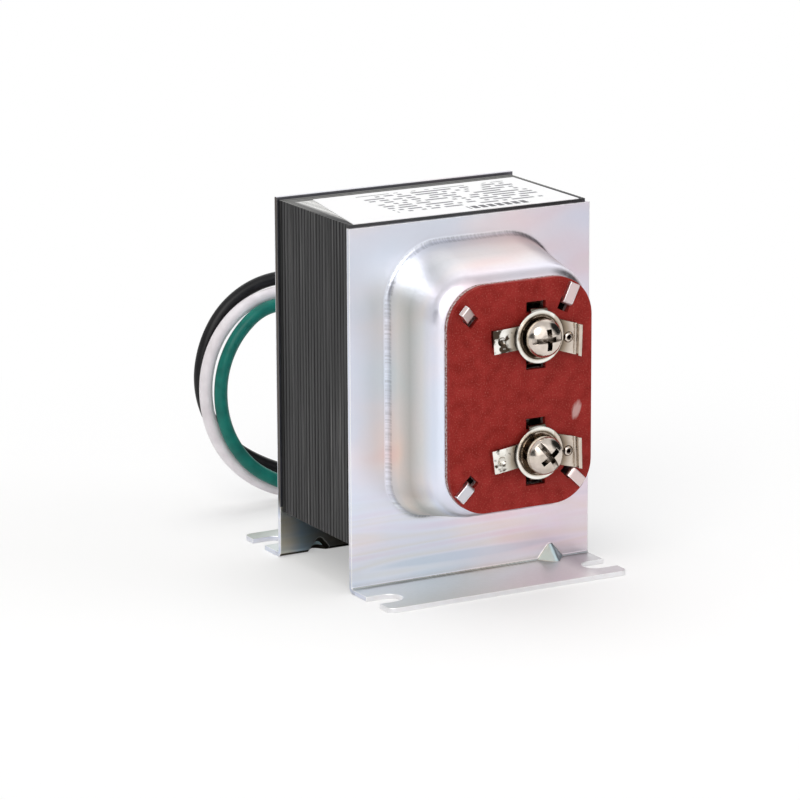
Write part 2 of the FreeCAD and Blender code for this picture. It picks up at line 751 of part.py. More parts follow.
def lead(name, route, diameter):
    """Lead swept along straight runs joined by arcs as large as the runs allow."""
    points = [vector(*point) for point in route]
    edges = []
    last = points[0]
    radii = []
    for before, point, after in zip(points, points[1:], points[2:]):
        back = before - point
        ahead = after - point
        tangent = arc_reach * min(back.Length, ahead.Length)
        back.normalize()
        ahead.normalize()
        half_turn = (math.pi - back.getAngle(ahead)) / 2
        radius = tangent / math.tan(half_turn)
        radii.append(radius)
        start = point + back * tangent
        end = point + ahead * tangent
        inward = back + ahead
        inward.normalize()
        middle = point + inward * (radius / math.cos(half_turn) - radius)
        edges.append(Part.LineSegment(last, start).toShape())
        edges.append(Part.Arc(start, middle, end).toShape())
        last = end
    edges.append(Part.LineSegment(last, points[-1]).toShape())
    path = Part.Wire(edges)
    section = Part.Wire(Part.makeCircle(diameter / 2, points[0], points[1] - points[0]))
    tube = path.makePipeShell([section], True, False)
    expected = math.pi * diameter ** 2 / 4 * path.Length
    print(name, "length %.1f" % path.Length, "smallest radius %.1f" % min(radii),
          "volume share %.4f" % (tube.Volume / expected))
    return tube


def strands(route):
    """Bare stranded end that carries on straight from the lead."""
    end = vector(*route[-1])
    along = end - vector(*route[-2])
    return Part.makeCylinder(strand_diameter / 2, strand_length, end, along)


parts = {}
parts["front_bell"] = front_bell()
parts["rear_bell"] = rear_bell()
parts["e_laminations"], parts["i_laminations"] = e_and_i_stacks()
parts["coil_bobbin"] = coil_bobbin()
for name in winding_spans:
    parts[name + "_winding"] = winding(name)
    parts[name + "_tape"] = tape(name)
parts["terminal_board"] = terminal_board()
for name, height in terminal_heights.items():
    parts[name + "_terminal_plate"] = terminal_plate(height, terminal_turns[name])
    parts[name + "_terminal_screw"] = terminal_screw(height, screw_gaps[name], recess_turns[name])
    parts[name + "_secondary_lead"] = secondary_lead(height)
parts["front_insulator"] = front_insulator()
parts["rear_insulator"] = insulator(coil_face, insulator_face)
parts["thermal_cutoff"] = thermal_cutoff()
parts["lead_bushing"] = lead_bushing()
parts["rating_label"] = rating_label()
for name, route in (("black", black_route), ("white", white_route), ("green", green_route)):
    parts[name + "_lead"] = lead(name, route, lead_diameter)
    parts[name + "_lead_strands"] = strands(route)
parts["black_splice"] = splice(black_route)
parts["white_splice"] = splice(white_route)
parts["ground_lug"] = ground_lug(green_route)

os.makedirs("parts", exist_ok=True)
for name, shape in parts.items():
    shape.exportStep("parts/" + name + ".step")
    print(name, "solids", len(shape.Solids), "valid", shape.isValid(), "volume %.1f" % shape.Volume)
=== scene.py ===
import bpy
import bmesh
import math
from mathutils import Matrix, Vector


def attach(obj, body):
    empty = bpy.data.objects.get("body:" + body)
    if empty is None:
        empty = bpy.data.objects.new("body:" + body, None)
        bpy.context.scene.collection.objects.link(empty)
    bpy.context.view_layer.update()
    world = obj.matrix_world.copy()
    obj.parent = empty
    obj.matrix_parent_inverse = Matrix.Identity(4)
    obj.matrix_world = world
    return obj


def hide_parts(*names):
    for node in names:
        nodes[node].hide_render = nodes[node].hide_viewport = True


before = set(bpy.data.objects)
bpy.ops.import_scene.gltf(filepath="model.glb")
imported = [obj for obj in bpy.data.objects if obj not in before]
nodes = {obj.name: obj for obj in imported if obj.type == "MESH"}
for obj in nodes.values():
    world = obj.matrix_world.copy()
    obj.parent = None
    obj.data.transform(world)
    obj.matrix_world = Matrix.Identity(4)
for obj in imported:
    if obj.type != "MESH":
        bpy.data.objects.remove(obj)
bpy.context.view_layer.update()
scene = bpy.context.scene
mm = 0.001
print("frame loaded,", len(nodes), "nodes")

# Camera, at the photograph's angle; lengths are in mm here and below
cameraSet = {"azimuth": -29.06, "elevation": 13.845, "roll": -0.273, "distance": 900,
             "across": -6.878, "up": 32.681, "lens": 193.96, "sensor": 36, "nearest": 50}


def placeCamera(settings):
    turn, rise, roll = (math.radians(settings[key]) for key in ("azimuth", "elevation", "roll"))
    back = Vector((math.sin(turn) * math.cos(rise), -math.cos(turn) * math.cos(rise), math.sin(rise)))
    right = Matrix.Rotation(roll, 3, back) @ Vector((math.cos(turn), math.sin(turn), 0))
    up = back.cross(right)
    camera = bpy.data.objects.new("camera", bpy.data.cameras.new("camera"))
    scene.collection.objects.link(camera)
    camera.data.lens = settings["lens"]
    camera.data.sensor_width = settings["sensor"]
    camera.data.clip_start = settings["nearest"] * mm
    eye = (right * settings["across"] + up * settings["up"] + back * settings["distance"]) * mm
    camera.matrix_world = Matrix.Translation(eye) @ Matrix((right, up, back)).transposed().to_4x4()
    scene.camera = camera


placeCamera(cameraSet)
print("camera placed")


def hexColour(code):
    channels = [int(code[start:start + 2], 16) / 255 for start in (1, 3, 5)]
    return [c / 12.92 if c <= 0.04045 else ((c + 0.055) / 1.055) ** 2.4 for c in channels] + [1]


def addNode(tree, kind, settings={}, sockets={}):
    node = tree.nodes.new(kind)
    for option, value in settings.items():
        setattr(node, option, value)
    for key, value in sockets.items():
        if isinstance(value, bpy.types.NodeSocket):
            tree.links.new(value, node.inputs[key])
        else:
            node.inputs[key].default_value = value
    return node


def startMaterial(name, settings={}):
    material = bpy.data.materials.new(name)
    material.use_nodes = True
    tree = material.node_tree
    shader = tree.nodes["Principled BSDF"]
    for key, value in settings.items():
        shader.inputs[key].default_value = value
    place = addNode(tree, "ShaderNodeTexCoord").outputs["Object"]
    return material, tree, shader, place


def fillRamp(ramp, stops):
    elements = ramp.color_ramp.elements
    for stop in stops[2:]:
        elements.new(stop[0])
    for element, (position, code) in zip(elements, sorted(stops)):
        element.position = position
        element.color = hexColour(code)


def makePiece(bm, name, material):
    mesh = bpy.data.meshes.new(name)
    bm.to_mesh(mesh)
    bm.free()
    mesh.materials.append(material)
    piece = bpy.data.objects.new(name, mesh)
    scene.collection.objects.link(piece)
    return piece


# Lights, floor and backdrop
lampSet = {
    "key": {"place": (-520, -560, 640), "size": 620, "watts": 3.4, "colour": "#FFFCF7", "mirrored": True},
    "fill": {"place": (620, -520, 420), "size": 560, "watts": 1.6, "colour": "#F6F8FF", "mirrored": False},
    "top": {"place": (40, 220, 860), "size": 700, "watts": 3.2, "colour": "#FFFFFF", "mirrored": False},
}
stageSet = {"floor": "#FAFAFA", "reach": 3000, "gap": 0.02, "shadowReach": (70, 190), "shadowLift": 0.4,
            "ambient": 0.45, "darkest": 0.02, "aim": (0, 0, 40),
            "sky": [(0.0, "#E8E8E8"), (0.3, "#DCDCDC"), (0.62, "#E8E8E8"), (1.0, "#E2E2E2")]}
# what metal mirrors round the stage: heading, outer and inner cosine of each soft patch, and its gain
patchSet = {
    "frontGlow": {"heading": (0.46, -0.88, 0.05), "cosines": (0.72, 0.98), "gain": 0.5},
    "softBox": {"heading": (-0.36, -0.80, 0.48), "cosines": (0.74, 0.95), "gain": 0.8},
    "rearPanel": {"heading": (0.47, 0.63, 0.62), "cosines": (0.72, 0.97), "gain": 0.5},
    "rightFlag": {"heading": (0.94, -0.20, 0.20), "cosines": (0.74, 0.88), "gain": -0.8},
    "leftFlag": {"heading": (-0.94, -0.30, 0.12), "cosines": (0.90, 0.96), "gain": -0.65},
}


def addLamp(name, settings):
    lamp = bpy.data.objects.new(name, bpy.data.lights.new(name, "AREA"))
    scene.collection.objects.link(lamp)
    lamp.data.shape = "DISK"
    lamp.data.size = settings["size"] * mm
    lamp.data.energy = settings["watts"]
    lamp.data.color = hexColour(settings["colour"])[:3]
    lamp.visible_glossy = settings["mirrored"]
    lamp.location = Vector(settings["place"]) * mm
    aim = Vector(stageSet["aim"]) * mm - lamp.location
    lamp.rotation_euler = aim.to_track_quat("-Z", "Y").to_euler()


def setWorld(settings, patches):
    # white to the camera; metal sees a pale room with bright panels and two dark flags
    world = bpy.data.worlds.new("studio")
    scene.world = world
    world.use_nodes = True
    tree = world.node_tree
    rays = addNode(tree, "ShaderNodeLightPath")
    heading = addNode(tree, "ShaderNodeTexCoord").outputs["Generated"]
    height = addNode(tree, "ShaderNodeSeparateXYZ", {}, {0: heading}).outputs["Z"]
    sky = addNode(tree, "ShaderNodeValToRGB", {}, {0: height})
    fillRamp(sky, settings["sky"])
    level = addNode(tree, "ShaderNodeRGBToBW", {}, {0: sky.outputs[0]}).outputs[0]
    for patch in patches.values():
        facing = addNode(tree, "ShaderNodeVectorMath", {"operation": "DOT_PRODUCT"},
                         {0: heading, 1: patch["heading"]})
        outer, inner = patch["cosines"]
        glow = addNode(tree, "ShaderNodeMapRange", {"interpolation_type": "SMOOTHSTEP"},
                       {0: facing.outputs["Value"], 1: outer, 2: inner, 3: 0.0, 4: patch["gain"]})
        level = addNode(tree, "ShaderNodeMath", {"operation": "ADD"},
                        {0: level, 1: glow.outputs[0]}).outputs[0]
    mirrored = addNode(tree, "ShaderNodeMath", {"operation": "MAXIMUM"}, {0: level, 1: settings["darkest"]})
    lit = addNode(tree, "ShaderNodeMapRange", {},
                  {0: rays.outputs["Is Glossy Ray"], 3: settings["ambient"], 4: mirrored.outputs[0]})
    seen = addNode(tree, "ShaderNodeMapRange", {},
                   {0: rays.outputs["Is Camera Ray"], 3: lit.outputs[0], 4: 1.0})
    tree.links.new(seen.outputs[0], tree.nodes["Background"].inputs["Strength"])
    tree.nodes["Background"].inputs["Color"].default_value = (1, 1, 1, 1)


def addFloor(settings):
    # matt white sweep: the shadow shows near the object and fades to plain white farther off
    material, tree, shader, place = startMaterial("paleFloor", {"Roughness": 0.9, "Specular IOR Level": 0.1})
    shader.inputs["Base Color"].default_value = hexColour(settings["floor"])
    far = addNode(tree, "ShaderNodeVectorMath", {"operation": "LENGTH"}, {0: place})
    near, end = (reach * mm for reach in settings["shadowReach"])
    fade = addNode(tree, "ShaderNodeMapRange", {"interpolation_type": "SMOOTHSTEP"},
                   {0: far.outputs["Value"], 1: near, 2: end, 3: settings["shadowLift"], 4: 1.0})
    rays = addNode(tree, "ShaderNodeLightPath")
    seen = addNode(tree, "ShaderNodeMath", {"operation": "MULTIPLY"},
                   {0: fade.outputs[0], 1: rays.outputs["Is Camera Ray"]})
    white = addNode(tree, "ShaderNodeEmission")
    blend = addNode(tree, "ShaderNodeMixShader", {},
                    {0: seen.outputs[0], 1: shader.outputs[0], 2: white.outputs[0]})
    tree.links.new(blend.outputs[0], tree.nodes["Material Output"].inputs["Surface"])
    bm = bmesh.new()
    bmesh.ops.create_grid(bm, x_segments=1, y_segments=1, size=settings["reach"] * mm)
    bmesh.ops.translate(bm, vec=(0, 0, -settings["gap"] * mm), verts=bm.verts)
    makePiece(bm, "floor", material)


scene.view_settings.view_transform = "Standard"
for name, settings in lampSet.items():
    addLamp(name, settings)
setWorld(stageSet, patchSet)
addFloor(stageSet)
print("stage lit")

# Leads: stranded hook-up wire in moulded PVC, drawn along the routes of the CAD tubes
leadSet = {
    "black": {"colour": "#0D0D0F", "worn": "#1A1A1C", "exit": (9.0, 35.0, 46.8), "length": 134.8,
              "route": [
        (9.0, 31.4, 46.8), (9.0, 41.4, 46.8), (4.4, 50.2, 48.7), (-4.1, 54.9, 50.4),
        (-12.3, 56.5, 49.0), (-19.6, 56.8, 44.4), (-24.2, 56.8, 37.2), (-25.8, 56.8, 28.5),
        (-23.4, 56.8, 19.8), (-17.4, 56.8, 12.8), (-9.6, 57.0, 8.0), (-0.8, 57.4, 4.6),
        (8.2, 58.2, 2.3), (17.2, 59.8, 1.6), (25.4, 62.6, 1.5), (32.0, 66.6, 1.5)]},
    "white": {"colour": "#EBE6EA", "worn": "#DAD4D8", "exit": (10.55, 35.0, 44.15), "length": 136.0,
              "route": [
        (10.55, 31.4, 44.15), (10.55, 40.4, 44.15), (6.5, 48.5, 44.7), (-1.6, 53.3, 46.8),
        (-10.1, 54.0, 47.2), (-17.8, 53.6, 44.3), (-23.6, 53.5, 37.9), (-26.1, 53.5, 29.2),
        (-25.0, 53.4, 19.6), (-20.5, 53.2, 11.3), (-12.9, 52.8, 5.0), (-3.6, 52.4, 2.0),
        (6.2, 52.2, 1.6), (15.8, 52.8, 1.5), (24.6, 54.8, 1.5), (32.0, 58.0, 1.5)]},
    "green": {"colour": "#0E7165", "worn": "#0A5B52", "exit": (7.45, 35.0, 44.15), "length": 125.0,
              "route": [
        (7.45, 31.4, 44.15), (7.45, 39.8, 44.15), (3.5, 46.9, 44.1), (-3.6, 50.9, 44.7),
        (-12.3, 51.3, 45.2), (-19.0, 51.3, 39.9), (-22.9, 51.2, 32.6), (-23.5, 51.2, 24.4),
        (-21.5, 50.9, 16.8), (-16.8, 50.2, 10.0), (-9.6, 49.2, 5.7), (-1.4, 48.0, 3.0),
        (7.6, 47.0, 1.7), (16.8, 46.6, 1.5), (25.4, 47.8, 1.5), (32.4, 50.6, 1.5)]},
}
wireSet = {"diameter": 2.9, "mottle": 3.0, "mottleStops": (0.35, 0.75)}
strandSet = {"length": 8.0, "ring": 0.43, "radius": 0.21, "outer": 6, "sides": 10, "twist": 260, "steps": 36}
copperSet = {"marks": 0.4, "tints": [(0.3, "#B56A45"), (0.7, "#D99470")], "rough": (0.22, 0.4)}


def pvcMaterial(name, settings):
    # extruded PVC: even colour with slight cloudiness and a soft gloss
    material, tree, shader, place = startMaterial(name + "Pvc",
                                                  {"Roughness": 0.4, "IOR": 1.53, "Specular IOR Level": 0.22})
    cloud = addNode(tree, "ShaderNodeTexNoise", {},
                    {"Vector": place, "Scale": 1 / (wireSet["mottle"] * mm), "Detail": 3})
    tint = addNode(tree, "ShaderNodeValToRGB", {}, {0: cloud.outputs[0]})
    fillRamp(tint, list(zip(wireSet["mottleStops"], (settings["colour"], settings["worn"]))))
    tree.links.new(tint.outputs[0], shader.inputs["Base Color"])
    bump = addNode(tree, "ShaderNodeBump", {},
                   {"Strength": 0.15, "Distance": 0.02 * mm, "Height": cloud.outputs[0]})
    tree.links.new(bump.outputs[0], shader.inputs["Normal"])
    return material


def drawLead(name, settings):
    curve = bpy.data.curves.new(name + "Lead", "CURVE")
    curve.dimensions = "3D"
    spline = curve.splines.new("NURBS")
    spline.points.add(len(settings["route"]) - 1)
    for point, (x, y, z) in zip(spline.points, settings["route"]):
        point.co = (x * mm, y * mm, z * mm, 1)
    spline.order_u = 3
    spline.use_endpoint_u = True
    spline.resolution_u = 12
    curve.bevel_depth = wireSet["diameter"] / 2 * mm
    curve.bevel_resolution = 6
    curve.use_fill_caps = True
    lead = bpy.data.objects.new(name + "Lead", curve)
    scene.collection.objects.link(lead)
    curve.materials.append(pvcMaterial(name, settings))
    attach(lead, "root")
    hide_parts(name + "_lead")
    return lead


def copperMaterial(settings):
    # bare drawn copper: warm metal with fine draw marks along the strand
    material, tree, shader, place = startMaterial("bareCopper", {"Metallic": 1.0})
    marks = addNode(tree, "ShaderNodeTexNoise", {},
                    {"Vector": place, "Scale": 1 / (settings["marks"] * mm), "Detail": 4})
    tint = addNode(tree, "ShaderNodeValToRGB", {}, {0: marks.outputs[0]})
    fillRamp(tint, settings["tints"])
    tree.links.new(tint.outputs[0], shader.inputs["Base Color"])
    smooth, coarse = settings["rough"]
    rough = addNode(tree, "ShaderNodeMapRange", {}, {0: marks.outputs[0], 3: smooth, 4: coarse})
    tree.links.new(rough.outputs[0], shader.inputs["Roughness"])
    return material


copper = copperMaterial(copperSet)


def twistStrands(name, route, settings):
    # six strands laid round a straight one
    bm = bmesh.new()
    steps = settings["steps"]
    for index in range(settings["outer"] + 1):
        offset = settings["ring"] * mm if index else 0
        ring = bmesh.ops.create_circle(bm, cap_ends=True, segments=settings["sides"],
                                       radius=settings["radius"] * mm)["verts"]
        bmesh.ops.translate(bm, vec=(offset, 0, 0), verts=ring)
        turn = Matrix.Rotation(index * math.tau / settings["outer"], 3, "Z")
        bmesh.ops.rotate(bm, cent=(0, 0, 0), matrix=turn, verts=ring)
        rim = list({e for v in ring for e in v.link_edges})
        bmesh.ops.spin(bm, geom=ring + rim + list(ring[0].link_faces), cent=(0, 0, 0), axis=(0, 0, 1),
                       dvec=(0, 0, settings["length"] / steps * mm), angle=math.radians(settings["twist"]),
                       steps=steps, use_merge=False, use_normal_flip=False, use_duplicate=False)
    bmesh.ops.recalc_face_normals(bm, faces=bm.faces)
    for face in bm.faces:
        face.smooth = len(face.verts) == 4
    last, end = (Vector(point) for point in route[-2:])
    turn = (end - last).to_track_quat("Z", "Y").to_matrix().to_4x4()
    bmesh.ops.transform(bm, matrix=Matrix.Translation(end * mm) @ turn, verts=bm.verts)
    strands = makePiece(bm, name + "Strands", copper)
    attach(strands, "root")
    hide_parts(name + "_lead_strands")
    return strands


for name, settings in leadSet.items():
    lead = drawLead(name, settings)
    strands = twistStrands(name, settings["route"], strandSet)
print("leads drawn")

# Bells: bright zinc plate on drawn sheet steel
zincSet = {
    # interference colours in wide patches, and in streaks near the bend
    "patch": 15.0, "stretch": 2.2, "tilt": 0.0038,
    "tints": [(0.26, "#DDE5F4"), (0.42, "#E2E5F3"), (0.55, "#EAE5EE"), (0.66, "#ECDCE3"), (0.80, "#E8DEDE")],
    "streakLong": 60.0, "streakFine": 3.4, "streakTop": 24.0, "streakLow": 8.0, "streakShare": 0.5,
    "streaks": [(0.34, "#DCE9F2"), (0.44, "#FFFFFF"), (0.52, "#FBF6E6"), (0.58, "#FFFFFF"),
                (0.68, "#F7E1E8")],
    # plate, with painted shade a little darker to the right and to the top
    "plateFace": 16.2, "rightStart": 6.0, "rightEnd": 24.0, "rightShade": "#F1F1F7",
    "topStart": 46.0, "topEnd": 66.0, "topShade": "#F3F3F0",
    # dome walls with a warm tone and painted shade, and the draw lines at their root
    "domeFace": 33.4, "wallLow": 12.0, "wallTop": 0.5, "wallTurn": (0.05, 0.75),
    "walls": [(0.0, "#FFFFFF"), (0.05, "#FFF6E0"), (0.20, "#FFF3D8"), (0.45, "#DAD3BC"), (0.70, "#FBF4E2"),
              (0.90, "#FFFFFF")],
    "drawLine": 0.45, "drawLong": 9.0, "drawStart": 16.04, "drawEnd": 17.4, "sideStart": 15.0,
    "drawNoise": (0.35, 0.65), "drawShade": 0.76,
    # tabs, dart, foot with its right end, and the front foot's rim; the foot's upward faces carry a painted
    # tone and the rim a painted highlight
    "tabFace": 35.0, "tabShade": "#E8E2DB", "dartLow": 1.06, "dartColour": "#D9EEF4",
    "footHigh": 4.0, "footColour": "#E1E5E3", "earStart": 18.0, "earEnd": 23.0, "earShade": "#D4CFD4",
    "rimStart": 22.0, "rimHigh": 1.05, "rimColour": "#EFEFF1",
    # painted shade in hollows, and on the rear bell where it faces the core, along its left edge and in the
    # dart's recess
    "hollow": 1.3, "hollowOpen": (0.95, 0.55), "hollowShade": "#DAD7D2",
    "backFace": 14.5, "backLow": 11.0, "backShade": "#7C7C7E", "halfWide": 27.5,
    "under": [(0.0, "#FFF9DE"), (0.03, "#F2EDD8"), (0.08, "#B9CDD0"), (0.16, "#9BA198"), (0.3, "#877A65")],
    "edgeFace": 15.84, "edgeLow": 8.0, "edgeHigh": 13.0, "edgeShade": "#5E564E",
    "recessFace": 15.2, "recessEnd": 21.0, "recessTurn": 0.15, "recessShade": "#5E564A",
    # edges painted bright as a highlight, and grain
    "facing": 0.5, "edge": 0.3, "edgeTurn": (0.99, 0.9), "edgeGlint": "#FFFFFF",
    "grain": 0.7, "grainNoise": (0.3, 0.7), "rough": (0.3, 0.42),
}


def zincMaterial(settings):
    # passivated zinc: silvery, with soft patches of interference colour and fine draw lines at the dome's root
    material, tree, shader, place = startMaterial("zincPlate", {"Metallic": 1.0})
    # lengths in metres
    span = {key: value * mm for key, value in settings.items() if isinstance(value, float)}
    axes = addNode(tree, "ShaderNodeSeparateXYZ", {}, {0: place}).outputs
    fine = 1 / span["patch"]
    wide = addNode(tree, "ShaderNodeMapping", {},
                   {"Vector": place, "Scale": (fine / settings["stretch"], fine, fine)})
    patch = addNode(tree, "ShaderNodeTexNoise", {}, {"Vector": wide.outputs[0], "Scale": 1.0, "Detail": 2.0})
    drift = addNode(tree, "ShaderNodeMath", {"operation": "MULTIPLY_ADD"},
                    {0: axes["X"], 1: settings["tilt"] / mm, 2: patch.outputs[0]})
    tint = addNode(tree, "ShaderNodeValToRGB", {}, {0: drift.outputs[0]})
    fillRamp(tint, settings["tints"])
    # drawn walls: a warm tone near the root, painted shade half-way up and lighter again at the shoulder, with
    # a painted lighter top where they face upwards
    depth = addNode(tree, "ShaderNodeMath", {"operation": "ABSOLUTE"}, {0: axes["Y"]}).outputs[0]
    along = addNode(tree, "ShaderNodeMapRange", {}, {0: depth, 1: span["plateFace"], 2: span["domeFace"]})
    wall = addNode(tree, "ShaderNodeValToRGB", {}, {0: along.outputs[0]})
    fillRamp(wall, settings["walls"])
    surface = addNode(tree, "ShaderNodeNewGeometry").outputs
    normal = surface["True Normal"]
    turned = addNode(tree, "ShaderNodeSeparateXYZ", {}, {0: normal}).outputs
    upward = addNode(tree, "ShaderNodeSeparateXYZ", {}, {0: surface["Normal"]}).outputs["Z"]
    upright, lying = settings["wallTurn"]
    onWall = addNode(tree, "ShaderNodeMapRange", {"interpolation_type": "SMOOTHSTEP"},
                     {0: upward, 1: upright, 2: lying, 3: 1.0, 4: settings["wallTop"]})
    # streaks of interference colour along the bend
    low = 1 / span["streakLong"]
    flow = addNode(tree, "ShaderNodeMapping", {},
                   {"Vector": place, "Scale": (low, low, 1 / span["streakFine"])})
    streak = addNode(tree, "ShaderNodeTexNoise", {}, {"Vector": flow.outputs[0], "Scale": 1.0, "Detail": 1.0})
    hue = addNode(tree, "ShaderNodeValToRGB", {}, {0: streak.outputs[0]})
    fillRamp(hue, settings["streaks"])
    lower = addNode(tree, "ShaderNodeMapRange", {"interpolation_type": "SMOOTHSTEP"},
                    {0: axes["Z"], 1: span["streakTop"], 2: span["streakLow"],
                     3: 0.0, 4: settings["streakShare"]})
    # draw lines across the root: they run along X at the sides and along Z above and below
    long, short = 1 / span["drawLong"], 1 / span["drawLine"]
    sides = addNode(tree, "ShaderNodeMapping", {}, {"Vector": place, "Scale": (long, long, short)})
    ends = addNode(tree, "ShaderNodeMapping", {}, {"Vector": place, "Scale": (short, long, long)})
    across = addNode(tree, "ShaderNodeMath", {"operation": "ABSOLUTE"}, {0: axes["X"]})
    atSide = addNode(tree, "ShaderNodeMath", {"operation": "GREATER_THAN"},
                     {0: across.outputs[0], 1: span["sideStart"]})
    spot = addNode(tree, "ShaderNodeMix", {"data_type": "VECTOR"},
                   {0: atSide.outputs[0], 4: ends.outputs[0], 5: sides.outputs[0]})
    lines = addNode(tree, "ShaderNodeTexNoise", {}, {"Vector": spot.outputs[1], "Scale": 1.0, "Detail": 1.0})
    start, end = span["drawStart"], span["drawEnd"]
    root = addNode(tree, "ShaderNodeMath", {"operation": "COMPARE"},
                   {0: depth, 1: (start + end) / 2, 2: (end - start) / 2})
    faint, strong = settings["drawNoise"]
    mark = addNode(tree, "ShaderNodeMapRange", {},
                   {0: lines.outputs[0], 1: faint, 2: strong, 3: settings["drawShade"], 4: 1.0})
    # painted shade in the hollows, and a painted shadow across the rear plate's inner face below the core,
    # lighter at its left edge
    openness = addNode(tree, "ShaderNodeAmbientOcclusion", {"samples": 8, "only_local": True},
                       {"Distance": span["hollow"]})
    clear, shut = settings["hollowOpen"]
    hollowShading = addNode(tree, "ShaderNodeMapRange", {},
                    {0: openness.outputs["AO"], 1: clear, 2: shut, 3: 0.0, 4: 1.0})
    shadeAcross = addNode(tree, "ShaderNodeMapRange", {}, {0: axes["X"], 1: -span["halfWide"], 2: span["halfWide"]})
    under = addNode(tree, "ShaderNodeValToRGB", {}, {0: shadeAcross.outputs[0]})
    fillRamp(under, settings["under"])
    # the bell's own parts, found by place and by the way that they face
    flat = settings["facing"]
    masks = {}
    for mask, tests in {
        "foot": [("GREATER_THAN", turned["Z"], flat), ("LESS_THAN", axes["Z"], span["footHigh"])],
        "plate": [("LESS_THAN", depth, span["plateFace"])],
        "dome": [("GREATER_THAN", axes["Z"], span["wallLow"])],
        "tab": [("GREATER_THAN", depth, span["tabFace"])],
        "dart": [("GREATER_THAN", depth, span["plateFace"]), ("GREATER_THAN", axes["Z"], span["dartLow"]),
                 ("LESS_THAN", axes["Z"], span["wallLow"])],
        "rim": [("LESS_THAN", axes["Y"], -span["rimStart"]), ("LESS_THAN", axes["Z"], span["rimHigh"]),
                ("LESS_THAN", turned["Z"], flat)],
        # painted shade on the rear bell: its inner face beside and below the core, its left edge, and the
        # dart's recess
        "back": [("LESS_THAN", turned["Y"], -flat), ("GREATER_THAN", axes["Y"], span["backFace"]),
                 ("GREATER_THAN", axes["Z"], span["backLow"])],
        "under": [("LESS_THAN", turned["Y"], -flat), ("GREATER_THAN", axes["Y"], span["backFace"]),
                  ("LESS_THAN", axes["Y"], span["plateFace"]), ("LESS_THAN", axes["Z"], span["backLow"])],
        "edge": [("LESS_THAN", turned["X"], -flat), ("GREATER_THAN", axes["Y"], span["backFace"]),
                 ("LESS_THAN", axes["Y"], span["edgeFace"])],
        "recess": [("LESS_THAN", turned["Y"], -settings["recessTurn"]),
                   ("GREATER_THAN", axes["Y"], span["recessFace"]),
                   ("LESS_THAN", axes["Y"], span["recessEnd"]), ("LESS_THAN", axes["Z"], span["backLow"])],
    }.items():
        for operation, value, limit in tests:
            test = addNode(tree, "ShaderNodeMath", {"operation": operation}, {0: value, 1: limit}).outputs[0]
            if mask in masks:
                test = addNode(tree, "ShaderNodeMath", {"operation": "MULTIPLY"},
                               {0: masks[mask], 1: test}).outputs[0]
            masks[mask] = test
    fades = {"dome": ("dome", onWall)}
    # fades along X and Z: painted shade to the right and top of the plate, the foot's right end, and painted
    # shade rising up the rear plate's left edge
    for name, mask, axis, start, end in (
            ("ear", "foot", "X", "earStart", "earEnd"), ("right", "plate", "X", "rightStart", "rightEnd"),
            ("top", "plate", "Z", "topStart", "topEnd"), ("edge", "edge", "Z", "edgeLow", "edgeHigh")):
        fades[name] = mask, addNode(tree, "ShaderNodeMapRange", {"interpolation_type": "SMOOTHSTEP"},
                                    {0: axes[axis], 1: span[start], 2: span[end]})
    for name, (mask, fade) in fades.items():
        masks[name] = addNode(tree, "ShaderNodeMath", {"operation": "MULTIPLY"},
                              {0: masks[mask], 1: fade.outputs[0]}).outputs[0]
    # the foot's upward faces take their own grey, a painted tone for the light they catch; colours and painted
    # shades are then laid over all, and dart and the rim's painted highlight over those
    colour = addNode(tree, "ShaderNodeMix", {"data_type": "RGBA"},
                     {0: masks["foot"], 6: tint.outputs[0], 7: hexColour(settings["footColour"])}).outputs[2]
    layers = [(masks["dome"], wall.outputs[0]), (lower.outputs[0], hue.outputs[0]),
              (root.outputs[0], mark.outputs[0]), (masks["under"], under.outputs[0]),
              (hollowShading.outputs[0], hexColour(settings["hollowShade"]))]
    layers += [(masks[name], hexColour(settings[name + "Shade"]))
               for name in ("tab", "ear", "right", "top", "recess")]
    for share, over in layers:
        colour = addNode(tree, "ShaderNodeMix", {"data_type": "RGBA", "blend_type": "MULTIPLY"},
                         {0: share, 6: colour, 7: over}).outputs[2]
    # the dart takes its own colour, and the front foot's rim is painted pale as a highlight
    for name in ("dart", "rim"):
        colour = addNode(tree, "ShaderNodeMix", {"data_type": "RGBA"},
                         {0: masks[name], 6: colour, 7: hexColour(settings[name + "Colour"])}).outputs[2]
    # edges a touch rounded and painted bright as a highlight; the painted shade of the rear plate and its left
    # edge is laid over that
    soft = addNode(tree, "ShaderNodeBevel", {"samples": 6}, {"Radius": span["edge"]})
    level = addNode(tree, "ShaderNodeVectorMath", {"operation": "DOT_PRODUCT"},
                    {0: soft.outputs[0], 1: normal})
    even, sharp = settings["edgeTurn"]
    wearAndGlint = addNode(tree, "ShaderNodeMapRange", {},
                     {0: level.outputs["Value"], 1: even, 2: sharp, 3: 0.0, 4: 1.0})
    colour = addNode(tree, "ShaderNodeMix", {"data_type": "RGBA"},
                     {0: wearAndGlint.outputs[0], 6: colour, 7: hexColour(settings["edgeGlint"])}).outputs[2]
    for name in ("edge", "back"):
        colour = addNode(tree, "ShaderNodeMix", {"data_type": "RGBA", "blend_type": "MULTIPLY"},
                         {0: masks[name], 6: colour, 7: hexColour(settings[name + "Shade"])}).outputs[2]
    tree.links.new(colour, shader.inputs["Base Color"])
    # crystalline grain
    grain = addNode(tree, "ShaderNodeTexNoise", {},
                    {"Vector": place, "Scale": 1 / span["grain"], "Detail": 4})
    (least, most), (smooth, coarse) = settings["grainNoise"], settings["rough"]
    rough = addNode(tree, "ShaderNodeMapRange", {},
                    {0: grain.outputs[0], 1: least, 2: most, 3: smooth, 4: coarse})
    tree.links.new(rough.outputs[0], shader.inputs["Roughness"])
    bump = addNode(tree, "ShaderNodeBump", {},
                   {"Strength": 0.25, "Distance": 0.012 * mm, "Height": grain.outputs[0],
                    "Normal": soft.outputs[0]})
    tree.links.new(bump.outputs[0], shader.inputs["Normal"])
    return material


zinc = zincMaterial(zincSet)

